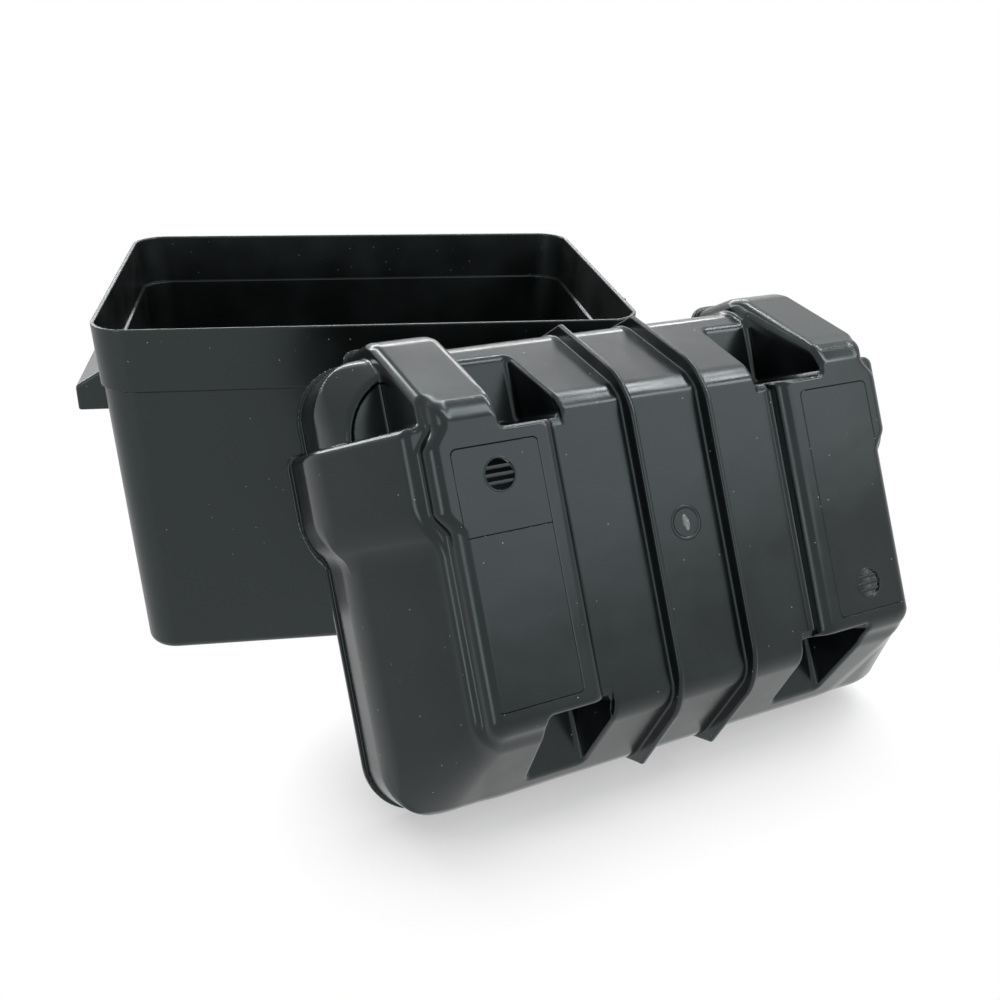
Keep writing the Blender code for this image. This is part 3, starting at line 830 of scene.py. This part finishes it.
    def place(self) -> Matrix:
        """Return where the lid stands: on its front edge, its back edge off the box's corner."""
        width = 2 * (self.half_width + self.lip_width)
        rise = self.box.height - self.lean_drop
        lean = asin(rise / width)
        half_length, half_width, radius = self.box.size_at(rise, False)
        corner = Vector((half_length - radius, radius - half_width))
        facing = Vector((sin(LID_TURN), -cos(LID_TURN)))
        along = Vector((cos(LID_TURN), sin(LID_TURN)))
        out = corner.dot(facing) + radius + self.contact_gap + width / 2 * cos(lean)
        spot = facing * out + along * self.shift
        return (Matrix.Translation((spot.x, spot.y, rise / 2 + self.floor_gap))
                @ Euler((lean, 0.0, LID_TURN)).to_matrix().to_4x4())

    def score(self, middle: float) -> Body:
        """Make the cutter of the fine V groove that frames one panel."""
        corner, wide, high = self.panel_corner, self.score_width, self.cutter_rise
        half = (self.panel_length / 2 - corner, self.panel_width / 2 - corner)
        groove = swept("score", [(corner, 0.0), (corner + wide / 2, -self.score_depth),
                                 (corner + wide, 0.0), (corner + wide, high), (corner, high)], half)
        return moved(groove, middle, 0.0, self.height)

    def vent(self, middle: float, shift: float) -> Body:
        """Make the cutter of one round vent."""
        shell = bmesh.new()
        bmesh.ops.create_cone(shell, cap_ends=True, segments=ROUND_STEPS, depth=4 * self.wall,
                              radius1=self.vent_diameter / 2, radius2=self.vent_diameter / 2)
        return moved(from_shell("vent", shell), middle, shift, self.height - self.wall / 2)

    def seam(self) -> Body:
        """Make the cutter of the fine V groove that crosses the left panel."""
        half, wide, high = self.panel_length / 2, self.seam_width / 2, self.cutter_rise
        section = ((-wide, 0.0), (0.0, -self.seam_depth), (wide, 0.0), (wide, high), (-wide, high))
        points = [(x, y, z) for x in (-half, half) for y, z in section]
        sides = [(k, (k + 1) % 5, (k + 1) % 5 + 5, k + 5) for k in range(5)]
        groove = outward(new_object("seam", points, [*sides, (0, 1, 2, 3, 4), (9, 8, 7, 6, 5)]))
        return moved(groove, -self.panel_middle, self.seam_place, self.height)

    def build(self, plastic: Finish, torn: Finish) -> list[Body]:
        """Build the lid's shell, vent bars and rings, and gate mark, and dress them."""
        cell = self.cell
        reach = self.half_length + self.lobe_reach + self.lip_width + 2 * cell
        low = Vector((-reach, -self.half_width - self.lip_width - 2 * cell, -3 * self.wall))
        high = Vector((reach, self.half_width + self.hump_reach + self.lip_width + 2 * cell,
                       self.height + 2 * cell))
        shell = skin("moulded_lid", self.filled, low, high, cell, self.most_triangles)
        inner = skin("lid_hollow", self.hollow, low, high, self.inner_cell, self.most_inner_triangles)
        middle, shift = self.panel_middle, self.vent_shift
        tools = [inner, self.score(-middle), self.score(middle), self.seam(),
                 self.vent(-middle, shift), self.vent(middle, -shift)]
        tooled(shell, tools, Way.CUT)
        shaded(shell, self.distance)
        pieces = [dressed(shell, plastic)]
        for side, x, y in (("left", -middle, shift), ("right", middle, -shift)):
            pieces += [moved(self.bars(side + "_vent_bars", plastic), x, y,
                             self.height - self.vent_bar_drop - self.vent_bar_depth / 2),
                       self.ring(plastic, side + "_vent_ring", x, y)]
        pieces += [self.gate(plastic), self.nub(torn)]
        return [placed(piece, self.place()) for piece in pieces]

    def bars(self, name: str, plastic: Finish) -> Body:
        """Make the level bars of one vent with Geometry Nodes, about the vent's middle."""
        body = new_object(name)
        tree = bar_tree()
        modifier = body.modifiers.new("bars", "NODES")
        modifier.node_group = tree
        sizes = {"Count": self.vent_bars, "Pitch": self.vent_pitch,
                 "Length": self.vent_diameter + self.wall / 2, "Width": self.vent_bar,
                 "Depth": self.vent_bar_depth, "Material": plastic}
        for item in tree.interface.items_tree:
            if item.in_out == "INPUT" and item.name in sizes:
                modifier[item.identifier] = sizes[item.name]
        applied(body)
        body.data.shade_smooth()
        body.data.set_sharp_from_angle(angle=self.vent_bar_crease)
        return body

    def ring(self, plastic: Finish, name: str, x: float, y: float) -> Body:
        """Make the fine raised ring round one vent."""
        edge, high, bevel = self.vent_diameter / 2, self.vent_ring_height, self.vent_ring_bevel
        inside, outside = edge - self.vent_ring_overlap, edge + self.vent_ring
        body = swept(name, [(inside, -self.vent_ring_sink), (inside, high / 2), (edge + bevel, high),
                            (outside - bevel, high), (outside, high / 2),
                            (outside, -self.vent_ring_sink)])
        return moved(dressed(body, plastic), x, y, self.height)

    def gate(self, plastic: Finish) -> Body:
        """Make the low ring round the spot where the mould was filled."""
        radius = self.gate_diameter / 2
        body = swept("gate_ring", [(radius + step, high) for step, high in self.gate_section])
        return moved(dressed(body, plastic), 0.0, self.gate_shift, self.face)

    def nub(self, torn: Finish) -> Body:
        """Make the torn oval nub in the middle of that ring."""
        shell = bmesh.new()
        bmesh.ops.create_uvsphere(shell, u_segments=32, v_segments=16, radius=1.0)
        long, wide, high = self.nub_size
        for vertex in shell.verts:
            phase = self.nub_waves[0] * vertex.co.x + self.nub_waves[1] * vertex.co.y
            ripple = 1.0 + self.nub_ripple * sin(phase)
            vertex.co = Vector((vertex.co.x * wide / 2 + vertex.co.y * self.nub_skew,
                                vertex.co.y * long / 2, vertex.co.z * high * ripple))
        body = from_shell("gate_nub", shell)
        body.data.shade_smooth()
        return moved(dressed(body, torn), 0.0, self.gate_shift, self.face)


def outward(body: Body) -> Body:
    """Turn all of a closed body's faces outward."""
    shell = bmesh.new()
    shell.from_mesh(body.data)
    bmesh.ops.recalc_face_normals(shell, faces=shell.faces)
    shell.to_mesh(body.data)
    shell.free()
    return body


def swept(name: str, profile: list[tuple[float, float]], half: tuple[float, float] = (0.0, 0.0),
          steps: int = ROUND_STEPS) -> Body:
    """Sweep a closed profile round a circle, or round an oblong with rounded corners.

    Args:
        name: The new object's name.
        profile: Radius and height of each point of the profile.
        half: How far the corners' middles lie from the oblong's own middle, along x and y.
        steps: How many steps make the full turn.

    Returns:
        The new object, shaded smooth.
    """
    points = []
    for k in range(steps):
        turn = 2 * pi * (k + 0.5) / steps
        middle = (half[0] if cos(turn) > 0 else -half[0], half[1] if sin(turn) > 0 else -half[1])
        points += [(middle[0] + r * cos(turn), middle[1] + r * sin(turn), z) for r, z in profile]
    count = len(profile)
    faces = [(k * count + j, (k + 1) % steps * count + j,
              (k + 1) % steps * count + (j + 1) % count, k * count + (j + 1) % count)
             for k in range(steps) for j in range(count)]
    body = outward(new_object(name, points, faces))
    body.data.shade_smooth()
    return body


def block(low: tuple, high: tuple, radius: float) -> Body:
    """Make a block between two corners, with its upright edges rounded."""
    shell = bmesh.new()
    bmesh.ops.create_cube(shell, size=1.0)
    for vertex in shell.verts:
        vertex.co = Vector([high[k] if vertex.co[k] > 0 else low[k] for k in range(3)])
    upright = [e for e in shell.edges if abs(e.verts[0].co.z - e.verts[1].co.z) > TINY]
    bmesh.ops.bevel(shell, geom=upright, offset=radius, segments=5, profile=0.5, affect="EDGES")
    return from_shell("block", shell)


def from_shell(name: str, shell: bmesh.types.BMesh) -> Body:
    """Make an object from an edited mesh, and free the edited mesh."""
    body = new_object(name)
    shell.to_mesh(body.data)
    shell.free()
    return body


def moved(body: Body, x: float, y: float, z: float) -> Body:
    """Move a body's mesh."""
    body.data.transform(Matrix.Translation((x, y, z)))
    return body


def bar_tree() -> Tree:
    """Build the node tree of level bars: rounded bars at a pitch, about their middle."""
    tree = bpy.data.node_groups.new("level_bars", "GeometryNodeTree")
    sockets = {"Count": "Int", "Pitch": "Float", "Length": "Float", "Width": "Float", "Depth": "Float",
               "Material": "Material"}
    tree.interface.new_socket("Geometry", in_out="OUTPUT", socket_type="NodeSocketGeometry")
    for name, kind in sockets.items():
        tree.interface.new_socket(name, in_out="INPUT", socket_type="NodeSocket" + kind)
    size = add(tree, "NodeGroupInput").outputs
    span = calc(tree, "MULTIPLY", calc(tree, "ADD", size["Count"], -1.0), size["Pitch"])
    start = add(tree, "ShaderNodeCombineXYZ", {"Y": calc(tree, "MULTIPLY", span, -0.5)})
    pitch = add(tree, "ShaderNodeCombineXYZ", {"Y": size["Pitch"]})
    line = add(tree, "GeometryNodeMeshLine", {
        "Count": size["Count"], "Start Location": start, "Offset": pitch})
    right = add(tree, "ShaderNodeCombineXYZ", {"X": calc(tree, "MULTIPLY", size["Length"], 0.5)})
    left = add(tree, "ShaderNodeCombineXYZ", {"X": calc(tree, "MULTIPLY", size["Length"], -0.5)})
    path = add(tree, "GeometryNodeCurvePrimitiveLine", {"Start": left, "End": right})
    section = add(tree, "GeometryNodeCurvePrimitiveQuadrilateral", {
        "Width": size["Width"], "Height": size["Depth"]})
    rounded = add(tree, "GeometryNodeFilletCurve", {
        "Count": 4, "Curve": section, "Radius": calc(tree, "MULTIPLY", size["Depth"], BAR_ROUNDING)},
        mode="POLY")
    bar = add(tree, "GeometryNodeCurveToMesh", {
        "Fill Caps": True, "Curve": path, "Profile Curve": rounded})
    copies = add(tree, "GeometryNodeInstanceOnPoints", {"Points": line, "Instance": bar})
    real = add(tree, "GeometryNodeRealizeInstances", {"Geometry": copies})
    finished = add(tree, "GeometryNodeSetMaterial", {"Geometry": real, "Material": size["Material"]})
    add(tree, "NodeGroupOutput", {0: finished})
    return tree


def dressed(body: Body, finish: Finish) -> Body:
    """Give the whole of a body one finish."""
    body.data.materials.clear()
    body.data.materials.append(finish)
    return body


def placed(body: Body, place: Matrix) -> Body:
    """Turn a body's millimetres into metres and put its mesh in its place."""
    body.data.transform(Matrix.Diagonal((MM, MM, MM, 1.0)) @ place)
    return body


@dataclass(frozen=True)
class Softbox:
    """A flat lamp with a soft front, aimed at a point."""

    name: str
    place: Triple
    aim: Triple
    width: float
    height: float
    power: float
    shape: str = "RECTANGLE"

    def build(self) -> None:
        """Build the lamp."""
        lamp = bpy.data.lights.new(self.name, "AREA")
        lamp.shape = self.shape
        lamp.size = self.width
        lamp.size_y = self.height
        lamp.energy = self.power
        body = linked(self.name, lamp)
        body.location = self.place
        ahead = Vector(self.aim) - Vector(self.place)
        body.rotation_euler = ahead.to_track_quat("-Z", "Y").to_euler()


@dataclass
class Studio:
    """The pale floor, the soft light and the camera."""

    camera_place: Triple = (-0.0362, -0.7268, 0.4079)
    yaw: float = 0.1810
    pitch: float = 0.4570
    roll: float = -0.0322
    lens: float = 39.53
    sensor: float = 36.0
    clip_start: float = 0.05
    world_strength: float = 0.5
    floor_size: float = 12.0

    def build(self) -> None:
        """Build everything that isn't the case."""
        self.camera()
        self.floor()
        self.world()
        for lamp in (
            Softbox("back_softbox", (0.56, 1.00, 1.10), (0.1, -0.1, 0.2), 1.5, 0.6, 1.8),
            Softbox("low_back_strip", (-0.10, 1.30, 0.72), (0.0, -0.1, 0.2), 1.8, 0.12, 8.0),
            Softbox("top_strip", (0.50, 0.38, 1.22), (0.1, -0.15, 0.2), 1.2, 0.08, 8.0),
            Softbox("top_softbox", (0.80, -0.40, 1.15), (0.1, -0.15, 0.2), 0.22, 1.0, 5.5),
            Softbox("right_softbox", (1.0, -1.05, 0.86), (0.12, -0.2, 0.12), 1.2, 0.6, 3.4),
            Softbox("left_softbox", (-0.85, -1.20, 0.42), (0.0, -0.2, 0.12), 0.45, 1.0, 2.8, "ELLIPSE"),
            Softbox("back_left_strip", (-0.78, 0.74, 0.78), (0.0, -0.1, 0.2), 0.18, 0.9, 6.5),
        ):
            lamp.build()

    def camera(self) -> None:
        """Build the camera at the photograph's viewpoint."""
        ahead = Vector((sin(self.yaw) * cos(self.pitch), cos(self.yaw) * cos(self.pitch),
                        -sin(self.pitch)))
        level = Vector((cos(self.yaw), -sin(self.yaw), 0.0))
        down = ahead.cross(level)
        right = level * cos(self.roll) + down * sin(self.roll)
        below = down * cos(self.roll) - level * sin(self.roll)
        turn = Matrix((right, -below, -ahead)).transposed().to_4x4()
        data = bpy.data.cameras.new("camera")
        data.lens = self.lens
        data.sensor_width = self.sensor
        data.clip_start = self.clip_start
        body = linked("camera", data)
        body.matrix_world = Matrix.Translation(self.camera_place) @ turn
        bpy.context.scene.camera = body

    def floor(self) -> None:
        """Build the floor."""
        half = self.floor_size / 2
        points = [(-half, -half, 0.0), (half, -half, 0.0), (half, half, 0.0), (-half, half, 0.0)]
        body = new_object("studio_floor", points, [(0, 1, 2, 3)])
        body.data.materials.append(StudioFloor().material())

    def world(self) -> None:
        """Build the world: white to look at, and a plain even light on the case."""
        world = bpy.data.worlds.new("white_studio")
        bpy.context.scene.world = world
        tree = emptied(world)
        strength = add(tree, "ShaderNodeMapRange", {
            "Value": seen_directly(tree), "To Min": self.world_strength, "To Max": 1.0})
        light = add(tree, "ShaderNodeBackground", {"Color": WHITE, "Strength": strength})
        add(tree, "ShaderNodeOutputWorld", {"Surface": light})


def report(piece: Body) -> None:
    """Log a piece's name and how many triangles it has."""
    LOG.info("%s: %d triangles", piece.name, triangles_of(piece))


def main() -> None:
    """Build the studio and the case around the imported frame."""
    logging.basicConfig(level=logging.INFO, format="%(message)s")
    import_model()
    bpy.context.scene.view_settings.view_transform = "Standard"
    Studio().build()
    box = Box()
    tub = box.build(MouldedPolypropylene("satin_black_polypropylene", "#040505", "#090b0b",
                                         gloss=0.28, dullness=0.36, sheen=0.56).material())
    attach(tub, "box")
    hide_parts("box")
    report(tub)
    glossy = MouldedPolypropylene("glossy_black_polypropylene", "#060708", "#0e1112", gloss=0.18,
                                  dullness=0.26, sheen=0.44)
    torn = MouldedPolypropylene("torn_grey_polypropylene", "#4a4d4c", "#8a8d8a", gloss=0.4,
                                dullness=0.5, cloud=1.2, wave=1.5, wave_depth=0.12)
    lid_pieces = Lid(box).build(glossy.material(), torn.material())
    for piece in lid_pieces:
        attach(piece, "lid")
        report(piece)
    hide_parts("lid")


if __name__ == "__main__":
    main()
